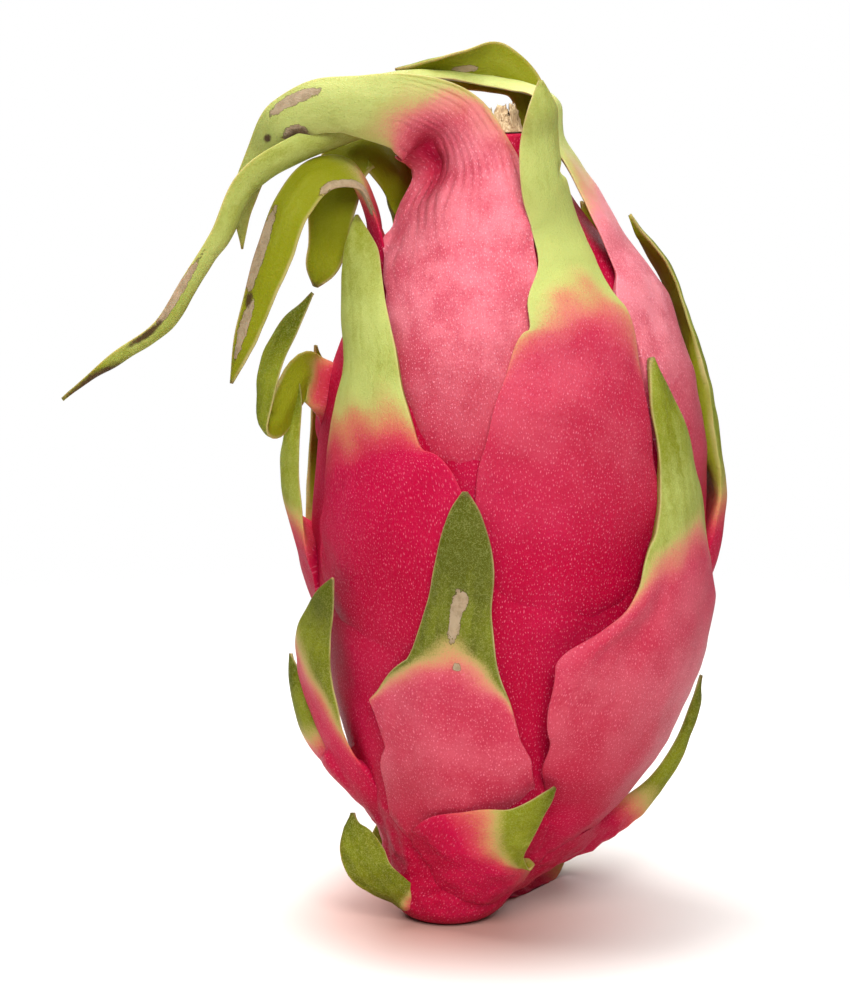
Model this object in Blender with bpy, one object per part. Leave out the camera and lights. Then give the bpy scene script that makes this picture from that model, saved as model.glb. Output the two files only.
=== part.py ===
"""A dragon fruit standing on its stem end: one grown body with leafy scales, and the dried flower on top.

Each scale is a loft along a spine. A spine's rows say where the scale runs, as a botanist would measure it:
    azimuth   degrees round the fruit's axis, 0 at the front, positive to the right
    height    millimetres above the surface that the fruit stands on
    stand-off millimetres out from the flesh of the body (negative is sunk in it)
    half-width millimetres
    roll      degrees that the scale's outer face is turned about its spine
"""

import math
import random

import bmesh
import bpy
import numpy as np
from mathutils import Matrix, Vector

MM = 0.001

# The body: height, radius, and where its axis has wandered to (right, back), all in millimetres.
BODY = np.array([
    (0, 9.5, 0, 0),
    (5, 12.5, 1, 1.5),
    (14, 18.5, 5, 5),
    (24, 25.5, 8, 8.5),
    (34, 30.5, 9.8, 11),
    (48, 35.5, 11.2, 13.5),
    (64, 39, 12, 15),
    (80, 39.5, 12.3, 15.5),
    (98, 38, 12.3, 15.5),
    (114, 33.5, 12, 15),
    (126, 27.5, 11, 14.5),
    (136, 19.5, 9.5, 14),
    (145, 13.5, 9, 13.5),
    (150, 9.6, 9.8, 13),
    (154.5, 6.4, 10.6, 13),
], float)
CROWN = BODY[-1]
BODY_LEVELS = 26
BODY_SIDES = 38

SECTION_STEP = 7  # spacing of a scale's sections along its spine
OUTER_POINTS = 7  # points across a scale's outer face
SUNK = 4.0  # how far the root of a scale reaches into the flesh
EDGE = 0.8  # thickness of a free edge
FREE_CENTRE = 2.4  # thickness of a free blade in the middle
TIP_CENTRE = 1.3
CUP = 0.62  # half the angle that a free blade's section curves through, in radians
FOLDED = {"crown_long": 1.25, "left_middle": 1.0, "left_low_far": 0.9}  # CUP of scales that dried folded
CLEAR_OF_FLOOR = 0.25
GAP = 0.3  # between one piece and the next

REMNANT = {
    "petals": 9,
    "length": (2.4, 4.6),
    "half_width": (1.1, 1.7),
    "lean": (-28, -4),
    "ring_radius": 3,
    "stub_radius": 4.3,
    "stub_height": 1.5,
    "seed": 5,
}

SCALES = {
    "crown_front": [
        (-19, 81.5, -3, 13, 0), (-18, 91.5, -0.5, 15, 0), (-17, 106.5, 1, 16, 0), (-18, 119.5, 2, 16.5, 0),
        (-19.5, 130, 2.8, 16, 0), (-23, 140, 3.8, 14.5, 0), (-30, 149, 4.6, 12, 2),
        (-38, 155.5, 10, 9, 10), (-48, 160, 17.5, 7, 20), (-57, 160.5, 25.5, 6, 28),
        (-66, 160, 33.5, 5.5, 30), (-73, 156.5, 39, 4.6, 30), (-79, 150, 38, 3.4, 25),
        (-82, 141, 33.5, 2.3, 20), (-84, 132, 28, 0.5, 20),
    ],
    "crown_long": [
        (-68, 146, -7, 5, 0), (-76, 153, 6.5, 6, 0), (-75, 155, 16.5, 6, 0), (-73, 152.5, 25, 5.4, 20),
        (-72, 149.5, 31.5, 4.6, 30), (-72, 144.5, 35, 4, 30), (-72, 135, 34.5, 3.6, 30),
        (-73, 126.5, 34.5, 3.4, 30), (-73, 117.5, 37, 3, 30), (-75, 111, 44.5, 2.2, 30),
        (-76, 104.5, 52.5, 0.5, 30),
    ],
    "crown_left_near": [
        (-84, 117, -2, 10, 0), (-82, 126, 1, 9, 0), (-79, 134, 5, 7, 0), (-76, 141, 10.5, 6, 0),
        (-73, 146, 17, 5.4, 0), (-71, 146, 23, 5, 0), (-70, 141, 24.5, 4.8, 0), (-70, 132, 23, 4.4, 0),
        (-71, 123, 21, 3.6, 0), (-72, 115, 20.5, 2.8, 0), (-74, 107, 20.5, 0.5, 0),
    ],
    "crown_left_far": [
        (-115, 131, -1, 7, 0), (-106, 141, 4.5, 6, 0), (-96, 148, 12, 5.6, 0), (-92, 151, 18.5, 5.6, 5),
        (-88, 148, 18.5, 5.4, 15), (-85, 141, 15, 5.2, 20), (-85, 132, 11, 4.2, 20),
        (-84, 127, 9.5, 2.8, 20), (-84, 124.5, 9, 0.6, 20),
    ],
    "crown_left_hidden": [
        (-135, 138, -1, 4.5, 0), (-122, 146, 6.5, 4, 0), (-114, 149, 10, 3.4, 0),
        (-110, 147, 9.5, 2.6, 10), (-109, 143, 7, 0.5, 20),
    ],
    "right_over": [
        (80, 57, -3, 12, 0), (73, 72.5, -1, 14, 0), (66, 90.5, 1, 14, 0), (62, 106, 2, 12.5, 0),
        (64, 119, 2.5, 10.5, 0), (69, 131, 4.4, 9, -5), (72, 140, 6.4, 6.8, -8), (73, 149, 6.2, 4.6, -12),
        (73, 156, 5, 3.8, -22), (92, 161.5, 3.2, 3.4, -36), (155, 164, 2, 4, -45),
        (-146, 165.5, 4, 3.6, -45), (-112, 166.5, 9, 3, -45), (-97, 165.5, 20, 0.5, -45),
    ],
    "back_over": [
        (149, 135.5, -2.3, 6.6, 0), (149.6, 144, 3, 6.2, 0), (150, 152, 7, 4.6, 8), (152, 158, 8, 3.9, 12),
        (163, 163.5, 8.2, 4.2, 15), (188, 166.8, 7.5, 5.4, 18), (212, 167.5, 7.5, 5.4, 0),
        (236, 168, 10, 4, -30), (250, 166.5, 16, 0.5, -45),
    ],
    "right_tall": [
        (20, 44, -3, 14, 0), (15, 58.5, -1.5, 18, 0), (15, 76.5, 1, 19.5, 0), (16, 92, 2, 19, 0),
        (18, 103, 2.5, 17, 0), (21.5, 113, 2.5, 14, 0), (24.5, 119, 3, 11.8, 0), (25.5, 125, 3, 9.8, 0),
        (30, 131, 3, 7.1, 0), (34, 138.5, 3.6, 6.1, 0), (28, 146, 8.2, 5.7, 0), (23, 154.5, 13, 5, 0),
        (21, 160.5, 14.5, 3.6, 0), (19.5, 165.5, 13.5, 0.5, 0),
    ],
    "left_tall": [
        (-43, 38, -3, 13, 0), (-40, 53, -1.5, 18, 0), (-38.5, 68, 1, 21, 0), (-38.5, 78, 2, 20.5, 0),
        (-41, 86, 2.2, 18.4, 0), (-45, 93.5, 2.2, 15, 2), (-46.5, 99, 2.4, 12.4, 5),
        (-48, 104.5, 2.5, 10.2, 8), (-50, 112, 3, 8.3, 10), (-56, 121, 4.5, 7, 12),
        (-62.5, 128, 6, 5.8, 14), (-70, 134, 8.5, 3.8, 16), (-76, 139, 10.5, 0.5, 16),
    ],
    "middle": [
        (-14, 8.5, -3, 12, 0), (-17, 17, -0.5, 13.5, 0), (-17, 24, 1, 16, 0), (-17, 32, 1.8, 16.6, 0),
        (-17, 36.5, 2, 15.2, 0), (-17, 41.5, 2.2, 13.4, 0), (-17, 46, 2.4, 12.2, 0),
        (-17, 50.5, 2.6, 11, 0), (-16, 57.5, 3, 8.8, 0), (-14.8, 65.5, 3, 7, 0), (-13, 75.5, 3.5, 5.8, 0),
        (-13, 83, 4, 4.3, 0), (-13, 87, 4, 2.6, 0), (-13, 90, 4, 0.5, 0),
    ],
    "right_middle": [
        (68, 10, -1, 14, 0), (59, 24, 3, 20.5, 0), (53.5, 37, 4.5, 26.5, 0), (51.5, 46, 4.6, 29.8, 0),
        (51.5, 52, 4.6, 30.5, 0), (51.5, 56.5, 4.4, 28, 0), (51.5, 61, 4.2, 22.8, 0),
        (51.5, 65, 4.1, 17.6, -2), (51.5, 69.5, 3.9, 14, -6), (51.5, 74, 3.7, 11.8, -10),
        (52, 79, 3.5, 9.2, -14), (50.5, 89, 3.5, 6.4, -15), (48, 98, 4, 5, -15), (46, 106, 4, 3.4, -15),
        (46, 113.5, 4, 0.5, -15),
    ],
    "left_low": [
        (-80, 13, -2, 7, 0), (-78, 20.5, 0.5, 9.5, 0), (-76, 29, 3.5, 9.6, 5), (-71.5, 39.5, 5.5, 8.8, 10),
        (-65.5, 50.5, 6.8, 7, 15), (-59, 60, 6.4, 4.8, 18), (-53.5, 66.5, 6.2, 3, 20),
        (-50, 71, 6, 0.5, 20),
    ],
    "left_low_far": [
        (-90, 14, -2, 6, 0), (-86, 22, 2, 6.5, 10), (-84, 29, 5.5, 7, 10), (-84, 35, 8, 6, 15),
        (-84, 41, 8.5, 4.6, 20), (-84, 46, 8, 3.4, 25), (-85, 51, 7, 0.5, 25),
    ],
    "left_middle": [
        (-92, 49, -2, 9, 0), (-90, 60, 0, 10, 8), (-86, 70, 2.5, 9, 15), (-82, 78, 4.5, 7, 25),
        (-78, 87, 6.5, 4, 35), (-75.5, 94, 7, 3, 40), (-74.5, 100, 7.5, 2.6, 40), (-74, 105, 8, 1.9, 40),
        (-73.5, 108, 8, 0.5, 40),
    ],
    "left_hook": [
        (-106, 88, -2, 9, 0), (-95, 97, 0, 8.5, 0), (-84, 104.5, 3, 6.4, 0), (-77, 107.5, 7.5, 5, 0),
        (-75, 104, 9, 4.2, 5), (-74, 99, 11, 3.8, 15), (-72.5, 98.5, 13, 3.6, 40), (-71, 105, 15, 3.6, 70),
        (-70, 113, 15.5, 3.4, 80), (-67, 119, 15, 2.8, 80), (-64, 125, 13.5, 0.5, 80),
    ],
    "foot_left": [
        (-38, 2, -2, 3.8, 20), (-46, 5, 1.5, 4.6, 30), (-54, 9, 4.5, 5.4, 35), (-60, 13, 6.5, 5.6, 40),
        (-64, 17, 6.5, 4.6, 40), (-67, 19.5, 6, 2.8, 40), (-70, 21.5, 4.5, 0.8, 40),
    ],
    "foot_front": [
        (0, 4, -2, 11, 0), (4, 8.5, 1, 14, 0), (3, 13, 2.5, 15, 0), (2, 17, 3.5, 13, 0),
        (5, 20.5, 4, 8.8, 0), (11, 24, 4.5, 4.6, 0), (14.5, 27.5, 5, 2.5, 0), (17, 30.5, 5.5, 1.3, 0),
        (18, 32, 5.5, 0.5, 0),
    ],
    "right_low": [
        (66, 5, -2, 8, -5), (73, 8.5, 1.5, 9, -8), (80, 13, 4, 6.6, -14), (86, 19, 7.2, 3.8, -18),
        (90.5, 25, 8.6, 2.5, -20), (93, 32, 8.6, 2, -22), (92, 39.5, 7, 1.6, -22), (89, 46, 5, 0.5, -22),
    ],
    "right_edge": [
        (95, 53, -2, 10, 0), (95, 62, 0.5, 11, 0), (95, 71.5, 3, 10, 4), (95, 81.5, 4, 8.8, 8),
        (95, 93, 3.5, 8, 10), (95, 104, 3.5, 7.6, 12), (96, 115, 4.2, 6.8, 14), (97, 127, 6.5, 5, 14),
        (97, 134.5, 9, 2.8, 12), (97, 138.5, 9.5, 0.5, 12),
    ],
    "right_hidden": [
        (123, 120, -4, 7.5, 0), (117, 129, 0, 7, 0), (111, 136, 3, 5.5, 0), (107, 140.5, 5, 3.2, 0),
        (104, 144, 6.5, 0.5, 0),
    ],
}

# The side that is away from the front, in the spiral order that they grew: azimuth and height of the root,
# length, half-width, sideways lean in degrees, and how far out the tip stands.
BACK_SCALES = [
    (118, 12, 60, 15, -8, 7),
    (166, 10, 66, 17, 6, 5),
    (-142, 12, 62, 16, 8, 8),
    (142, 46, 74, 18, -6, 5),
    (-166, 50, 78, 19, 5, 7),
    (-122, 44, 66, 16, 6, 9),
    (120, 78, 62, 13, 8, 6),
    (168, 88, 62, 15, -8, 9),
    (-140, 86, 60, 15, -6, 12),
]
# Along such a scale: share of its length, stand-off as a share of the tip's, share of its half-width.
SCALE_FORM = np.array([
    (0, -3 / 8, 0.75),
    (0.16, 0, 0.95),
    (0.34, 0.2, 1),
    (0.5, 0.35, 0.86),
    (0.64, 0.45, 0.58),
    (0.77, 0.55, 0.38),
    (0.89, 0.75, 0.24),
    (1, 1, 0.03),
])

# The two lowest scales at the back lie out along the surface, and the fruit leans back on them.
FEET = {
    "foot_back_right": [
        (150, 9, -4, 5, 0), (150, 4, 1.5, 6.5, 0), (149, 2, 9, 7.2, 0), (148, 1.6, 17, 7, 0),
        (148, 2.2, 22, 6.4, 0), (148, 5, 23, 5.8, 0), (148, 10, 19.5, 5, 0), (148, 16, 14, 3.8, 0),
        (148, 21, 10, 2.2, 0), (148, 25, 7.5, 0.5, 0),
    ],
    "foot_back_left": [
        (-158, 9, -4, 5, 0), (-158, 4, 1.5, 6, 0), (-158, 2, 8, 6.6, 0), (-157, 1.6, 14, 6.4, 0),
        (-157, 2.4, 18, 6, 0), (-157, 6, 18.5, 5.2, 0), (-157, 11, 15, 4.4, 0), (-157, 16.5, 11, 3, 0),
        (-157, 21, 8.5, 0.5, 0),
    ],
}


def through(rows, at):
    """A smooth curve through the rows, read at `at`. The first column of rows is what `at` is measured in."""
    knots, values = rows[:, 0], rows[:, 1:]
    slopes = np.gradient(values, knots, axis=0)
    i = np.clip(np.searchsorted(knots, at) - 1, 0, len(knots) - 2)
    gap = knots[i + 1] - knots[i]
    t = ((at - knots[i]) / gap)[:, None]
    gap = gap[:, None]
    return (
        (2 * t**3 - 3 * t**2 + 1) * values[i]
        + (t**3 - 2 * t**2 + t) * gap * slopes[i]
        + (3 * t**2 - 2 * t**3) * values[i + 1]
        + (t**3 - t**2) * gap * slopes[i + 1]
    )


def body_at(heights):
    """Radius and axis (right, back) of the body at these heights."""
    flat = np.clip(np.ravel(heights), BODY[0, 0], BODY[-1, 0])
    return through(BODY, flat).reshape(*np.shape(heights), 3)


def ramp(x, low, high):
    """0 below low, 1 above high, and smooth in between."""
    t = np.clip((x - low) / (high - low), 0, 1)
    return t * t * (3 - 2 * t)


def unit(v):
    return v / np.linalg.norm(v, axis=-1, keepdims=True)


def body_rings():
    """The body as level rings, from the flat spot up to the crown."""
    level = (1 - np.cos(np.linspace(0, math.pi, BODY_LEVELS))) / 2
    heights = BODY[-1, 0] * (0.35 * level + 0.65 * np.linspace(0, 1, BODY_LEVELS))
    radius, right, back = body_at(heights).T
    turn = np.linspace(0, 2 * math.pi, BODY_SIDES, endpoint=False)
    x = right[:, None] + radius[:, None] * np.sin(turn)
    y = back[:, None] + radius[:, None] * np.cos(turn)
    z = np.broadcast_to(heights[:, None], x.shape)
    return np.stack([x, y, z], axis=-1)[:, ::-1]


def spine_of(rows):
    """Points, stand-offs, half-widths and rolls at even steps along a scale's spine."""
    rows = np.array(rows, float)
    azimuth = np.radians(rows[:, 0])
    radius, right, back = body_at(rows[:, 1]).T
    out = radius + rows[:, 2]
    points = np.stack([right + out * np.sin(azimuth), back - out * np.cos(azimuth), rows[:, 1]], axis=1)
    travelled = np.concatenate([[0], np.cumsum(np.linalg.norm(np.diff(points, axis=0), axis=1))])
    count = max(9, int(travelled[-1] / SECTION_STEP) + 1)
    knots = np.column_stack([travelled, points, rows[:, 2:]])
    smooth = through(knots, np.linspace(0, travelled[-1], count))
    return smooth[:, :3], smooth[:, 3], np.maximum(smooth[:, 4], 0.45), np.radians(smooth[:, 5])


def frames_along(points, rolls):
    """Outer normal and rightward direction at each point: carried along without twist, then rolled."""
    along = unit(np.gradient(points, axis=0))
    _, right, back = body_at(points[:1, 2])[0]
    normal = np.array([points[0, 0] - right, points[0, 1] - back, 0])
    carried = []
    for direction in along:
        normal = unit(normal - (normal @ direction) * direction)
        carried.append(normal)
    carried = np.array(carried)
    across = np.cross(along, carried)
    turn = rolls[:, None]
    rolled = np.cos(turn) * carried + np.sin(turn) * across
    return rolled, np.cross(along, rolled)


def stand_off(points):
    """How far each point is out from the body, and the direction straight out of it."""
    radius, right, back = np.moveaxis(body_at(points[..., 2]), -1, 0)
    away = np.stack([points[..., 0] - right, points[..., 1] - back, np.zeros_like(right)], axis=-1)
    distance = np.maximum(np.linalg.norm(away, axis=-1), 1e-6)
    return distance - radius, away / distance[..., None]


def scale_rings(rows, cup=CUP):
    """A scale as rings round its spine: the outer face from left to right, then the inner face back again."""
    points, lift, half_width, roll = spine_of(rows)
    normal, across = frames_along(points, roll)
    along = np.linspace(0, 1, len(points))
    s = np.sin(np.linspace(-1, 1, OUTER_POINTS) * math.pi / 2)[None, :]
    below_crown = 1 - ramp(points[:, 2], 150, 157)
    hug = (below_crown * (1 - ramp(lift, 3, 8)))[:, None]
    radius = np.maximum(body_at(points[:, 2])[:, 0], 6)
    arc = hug * np.clip(half_width / radius, 0, 1.3)[:, None] + (1 - hug) * cup
    angle = s * arc
    reach = half_width[:, None] / arc
    outer = (
        points[:, None]
        + (np.sin(angle) * reach)[..., None] * across[:, None]
        - ((1 - np.cos(angle)) * reach)[..., None] * normal[:, None]
    )
    drop = 4 - 3 * ramp(along, 0, 0.5)[:, None]
    wanted = lift[:, None] - drop * np.abs(s) ** 2.5
    found, out = stand_off(outer)
    outer += ((wanted - found) * hug)[..., None] * out
    face = np.cos(angle)[..., None] * normal[:, None] + np.sin(angle)[..., None] * across[:, None]
    centre = FREE_CENTRE + (TIP_CENTRE - FREE_CENTRE) * along[:, None]
    centre = np.minimum(centre, 0.5 * half_width[:, None] + 0.5)
    free = EDGE + (centre - EDGE) * (1 - s**2)
    held = (below_crown * (1 - ramp(lift, 2.3, 4.5)))[:, None]
    thick = held * np.maximum(wanted + SUNK, EDGE) + (1 - held) * free
    inner = outer - thick[..., None] * face
    rings = np.concatenate([outer, inner[:, ::-1]], axis=1)
    lowest = CLEAR_OF_FLOOR * (1 - ramp(lift, 3, 8))[:, None]
    rings[..., 2] = np.maximum(rings[..., 2], lowest)
    return rings


def loft(name, rings):
    """A closed mesh over the rings, each end closed by one flat face."""
    count, sides, _ = rings.shape
    mesh = bpy.data.meshes.new(name)
    index = np.arange(count * sides).reshape(count, sides)
    after = np.roll(index, -1, axis=1)
    walls = np.stack([index[:-1], after[:-1], after[1:], index[1:]], axis=-1).reshape(-1, 4)
    faces = walls.tolist() + [index[0, ::-1].tolist(), index[-1].tolist()]
    mesh.from_pydata((rings.reshape(-1, 3) * MM).tolist(), [], faces)
    made = bmesh.new()
    made.from_mesh(mesh)
    bmesh.ops.recalc_face_normals(made, faces=made.faces)
    made.to_mesh(mesh)
    made.free()
    return bpy.data.objects.new(name, mesh)


def back_scale(azimuth, low, length, half_width, lean, tip_out):
    """Spine rows of a scale that stands along the body, from the form that they all share."""
    share, out, width = SCALE_FORM.T
    return np.column_stack(
        [azimuth + lean * share, low + length * share, tip_out * out, half_width * width, 0 * share]
    )


def all_scales():
    made = {name: scale_rings(rows, FOLDED.get(name, CUP)) for name, rows in {**SCALES, **FEET}.items()}
    for number, measures in enumerate(BACK_SCALES):
        made[f"back_{number}"] = scale_rings(back_scale(*measures))
    return made


def solid_from(obj):
    """A new mesh of the object with its modifiers applied."""
    graph = bpy.context.evaluated_depsgraph_get()
    return bpy.data.meshes.new_from_object(obj.evaluated_get(graph))


def keep_largest(mesh):
    """Drops sealed hollows and loose scraps: all but the connected piece with the most faces."""
    made = bmesh.new()
    made.from_mesh(mesh)
    unseen = set(made.faces)
    pieces = []
    while unseen:
        piece = {unseen.pop()}
        edge = list(piece)
        while edge:
            near = {other for side in edge.pop().edges for other in side.link_faces} - piece
            piece |= near
            edge += near
        unseen -= piece
        pieces.append(piece)
    largest = max(pieces, key=len)
    bmesh.ops.delete(made, geom=[face for face in made.faces if face not in largest], context="FACES")
    made.to_mesh(mesh)
    made.free()


def join(obj, others):
    """Joins a collection's solids to the object, and removes them."""
    union = obj.modifiers.new("grown_together", "BOOLEAN")
    union.operation = "UNION"
    union.operand_type = "COLLECTION"
    union.collection = others
    union.solver = "MANIFOLD"
    bpy.context.view_layer.update()
    joined = solid_from(obj)
    obj.modifiers.remove(union)
    obj.data = joined
    for other in list(others.objects):
        bpy.data.objects.remove(other)
    bpy.data.collections.remove(others)
    keep_largest(joined)


def finish(obj, name, colour, roughness):
    material = bpy.data.materials.new(name)
    material.use_nodes = True
    shader = material.node_tree.nodes["Principled BSDF"]
    shader.inputs["Base Color"].default_value = (*colour, 1)
    shader.inputs["Roughness"].default_value = roughness
    shader.inputs["Metallic"].default_value = 0
    obj.data.materials.clear()
    obj.data.materials.append(material)
    obj.data.shade_smooth()
    obj.data.set_sharp_from_angle(angle=math.radians(40))


def build_fruit(home):
    """The body with all its scales, joined as one solid."""
    scales = bpy.data.collections.new("scales")
    bpy.context.scene.collection.children.link(scales)
    for name, rings in all_scales().items():
        scales.objects.link(loft(name, rings))
    fruit = loft("dragon_fruit", body_rings())
    home.objects.link(fruit)
    join(fruit, scales)
    finish(fruit, "rind", (0.62, 0.03, 0.12), 0.45)


def cone(name, sides, low_radius, high_radius, height, place):
    """A cone with its base at height 0, before `place` is applied."""
    made = bmesh.new()
    bmesh.ops.create_cone(
        made,
        cap_ends=True,
        segments=sides,
        radius1=low_radius * MM,
        radius2=high_radius * MM,
        depth=height * MM,
    )
    bmesh.ops.translate(made, verts=made.verts, vec=(0, 0, height * MM / 2))
    made.transform(place)
    mesh = bpy.data.meshes.new(name)
    made.to_mesh(mesh)
    made.free()
    return bpy.data.objects.new(name, mesh)


def build_remnant(home):
    """The dry flower: a stub on the crown's disc, and the torn bases of its petals standing round it."""
    top, _, right, back = CROWN
    petals = bpy.data.collections.new("petals")
    bpy.context.scene.collection.children.link(petals)
    seat = Matrix.Translation(Vector((right, back, top + GAP)) * MM)
    draw = random.Random(REMNANT["seed"])
    for number in range(REMNANT["petals"]):
        azimuth = math.radians(360 * number / REMNANT["petals"] + draw.uniform(-10, 10))
        length = draw.uniform(*REMNANT["length"])
        width = draw.uniform(*REMNANT["half_width"])
        lean = math.radians(draw.uniform(*REMNANT["lean"]))
        place = (
            seat
            @ Matrix.Rotation(azimuth, 4, "Z")
            @ Matrix.Translation(Vector((0, -REMNANT["ring_radius"], 0.6)) * MM)
            @ Matrix.Rotation(lean, 4, "X")
            @ Matrix.Diagonal((1, 0.42, 1, 1))
        )
        petals.objects.link(cone(f"petal_{number}", 7, width, 0.3 * width, length, place))
    radius = REMNANT["stub_radius"]
    stub = cone("flower_remnant", 16, radius, 0.8 * radius, REMNANT["stub_height"], seat)
    home.objects.link(stub)
    join(stub, petals)
    finish(stub, "dry_flower", (0.42, 0.26, 0.13), 0.85)


def main():
    for old in list(bpy.data.objects):
        bpy.data.objects.remove(old)
    home = bpy.data.collections.new("dragon_fruit")
    bpy.context.scene.collection.children.link(home)
    build_fruit(home)
    build_remnant(home)


if __name__ == "__main__":
    main()
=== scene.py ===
# Dragon fruit: skin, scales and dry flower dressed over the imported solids.
# Shapes are worked out in millimetres and put into the meshes in metres.
import math

import bpy
import numpy as np
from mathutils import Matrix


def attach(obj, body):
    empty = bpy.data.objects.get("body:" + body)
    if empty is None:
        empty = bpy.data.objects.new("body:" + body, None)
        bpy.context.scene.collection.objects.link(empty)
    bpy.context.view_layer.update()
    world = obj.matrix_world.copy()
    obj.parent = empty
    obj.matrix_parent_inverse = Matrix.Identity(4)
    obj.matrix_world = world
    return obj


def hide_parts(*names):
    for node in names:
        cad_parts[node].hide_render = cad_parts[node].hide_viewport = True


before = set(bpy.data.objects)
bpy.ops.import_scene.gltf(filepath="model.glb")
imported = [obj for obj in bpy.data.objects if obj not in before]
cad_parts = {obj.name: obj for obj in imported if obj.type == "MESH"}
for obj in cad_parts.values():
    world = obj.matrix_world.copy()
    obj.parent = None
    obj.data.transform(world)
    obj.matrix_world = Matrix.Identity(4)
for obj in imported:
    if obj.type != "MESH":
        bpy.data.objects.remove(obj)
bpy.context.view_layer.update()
print("frame loaded")

mm = 0.001
flowSpan = 100.0  # mm in one unit of the flow map

# The flesh under everything: height, radius, and where the axis has wandered to (right, back).
bodyLook = {
    "rows": [
        (0, 6.8, 0, 0), (0.7, 8.6, 0.1, 0.1), (2, 10.3, 0.3, 0.4), (5, 12.5, 1, 1.5),
        (14, 18.5, 5, 5), (24, 25.5, 8, 8.5), (34, 30.5, 9.8, 11), (48, 35.5, 11.2, 13.5),
        (64, 39, 12, 15), (80, 39.5, 12.3, 15.5), (98, 38, 12.3, 15.5), (114, 33.5, 12, 15),
        (126, 27.5, 11, 14.5), (136, 19.5, 9.5, 14), (145, 13.5, 9, 13.5), (150, 9.6, 9.8, 13),
        (154.5, 6.4, 10.6, 13),
    ],
    "levels": 240,
    "sides": 260,
    "unevenness": (0.25, 18),  # depth and size in mm
    "crinkles": [(0.3, 5.5, 401), (0.18, 2.8, 402)],  # near the foot: depth, size and seed
}
bodyRows = np.array(bodyLook["rows"], float)


def through(rows, at):
    # Hermite curve: each span is a cubic whose end slopes are the gradients of the rows.
    knots, values = rows[:, 0], rows[:, 1:]
    slopes = np.gradient(values, knots, axis=0)
    i = np.clip(np.searchsorted(knots, at) - 1, 0, len(knots) - 2)
    gap = knots[i + 1] - knots[i]
    t = ((at - knots[i]) / gap)[:, None]
    gap = gap[:, None]
    return (
        (2 * t**3 - 3 * t**2 + 1) * values[i]
        + (t**3 - 2 * t**2 + t) * gap * slopes[i]
        + (3 * t**2 - 2 * t**3) * values[i + 1]
        + (t**3 - t**2) * gap * slopes[i + 1]
    )


def bodyAt(heights):
    # radius and axis (right, back) of the flesh at these heights
    flat = np.clip(np.ravel(heights), bodyRows[0, 0], bodyRows[-1, 0])
    return through(bodyRows, flat).reshape(*np.shape(heights), 3)


def ramp(x, low, high):
    # 0 below low, 1 above high, 3t^2 - 2t^3 between
    t = np.clip((x - low) / (high - low), 0, 1)
    return t * t * (3 - 2 * t)


def unit(v):
    return v / np.maximum(np.linalg.norm(v, axis=-1, keepdims=True), 1e-9)


def wander(points, size, seed):
    # Sum of eight sine waves in seeded directions, each about `size` mm long, within about -1..1.
    draw = np.random.default_rng(seed)
    ways = unit(draw.normal(size=(8, 3))) * draw.uniform(0.7, 1.4, (8, 1)) * 2 * math.pi / size
    return np.sin(points @ ways.T + draw.uniform(0, 2 * math.pi, 8)).sum(axis=-1) / 4


def crinkled(points):
    # the fine wrinkles of the foot: the same waves on the skin and on the scales over it
    return sum(depth * wander(points, size, seed) for depth, size, seed in bodyLook["crinkles"])


def meshFrom(name, points, quads, caps, facts, flow, material):
    # points in mm, quads as indices, caps as lists of indices, facts {attribute: a value for each vertex},
    # flow = across and along in mm
    mesh = bpy.data.meshes.new(name)
    mesh.from_pydata((points * mm).tolist(), [], quads.tolist() + caps)
    for fact, values in facts.items():
        data = mesh.attributes.new(fact, "FLOAT", "POINT").data
        data.foreach_set("value", np.ravel(values).astype(np.float32))
    corner = np.empty(len(mesh.loops), np.int32)
    mesh.loops.foreach_get("vertex_index", corner)
    layer = mesh.uv_layers.new(name="flow")
    layer.data.foreach_set("uv", np.ravel(flow.reshape(-1, 2)[corner] / flowSpan).astype(np.float32))
    mesh.shade_smooth()
    mesh.materials.append(material)
    mesh.validate()
    obj = bpy.data.objects.new(name, mesh)
    bpy.context.scene.collection.objects.link(obj)
    return obj


def ringFaces(count, sides):
    # quads between neighbouring rings, and one face over each end
    index = np.arange(count * sides).reshape(count, sides)
    after = np.roll(index, -1, axis=1)
    walls = np.stack([index[:-1], after[:-1], after[1:], index[1:]], axis=-1).reshape(-1, 4)
    return walls, [index[0, ::-1].tolist(), index[-1].tolist()]


def facingOut(points, walls, caps):
    # Turned round where the volume inside is negative: six times it is the sum of a . (b x c) + a . (c x d).
    a, b, c, d = (points[walls[:, k]] for k in range(4))
    if np.einsum("ij,ij->i", a, np.cross(b, c) + np.cross(c, d)).sum() < 0:
        return walls[:, ::-1], [cap[::-1] for cap in caps]
    return walls, caps


def newGroup(name, inputs, output, kind):
    # inputs {label: default}, where None stands for a vector
    group = bpy.data.node_groups.new(name, "ShaderNodeTree")
    for label, value in inputs.items():
        socketKind = "NodeSocketVector" if value is None else "NodeSocketFloat"
        socket = group.interface.new_socket(label, in_out="INPUT", socket_type=socketKind)
        if value is not None:
            socket.default_value = value
    group.interface.new_socket(output, in_out="OUTPUT", socket_type=kind)
    return group, group.nodes.new("NodeGroupInput"), group.nodes.new("NodeGroupOutput")


def addNode(tree, kind, settings=None, **sockets):
    # a node with its settings, then its sockets by name: a value is set, a socket is linked
    node = tree.nodes.new(kind)
    for key, value in (settings or {}).items():
        setattr(node, key, value)
    for label, value in sockets.items():
        put(tree, node.inputs[label], value)
    return node


def put(tree, socket, value):
    if isinstance(value, bpy.types.NodeSocket):
        tree.links.new(value, socket)
    else:
        socket.default_value = value


def putAll(tree, node, values):
    for socket, value in zip(node.inputs, values):
        put(tree, socket, value)
    return node.outputs[0]


def maths(tree, operation, *values):
    return putAll(tree, addNode(tree, "ShaderNodeMath", {"operation": operation}), values)


def vectorMaths(tree, operation, *values):
    return putAll(tree, addNode(tree, "ShaderNodeVectorMath", {"operation": operation}), values)


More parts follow.
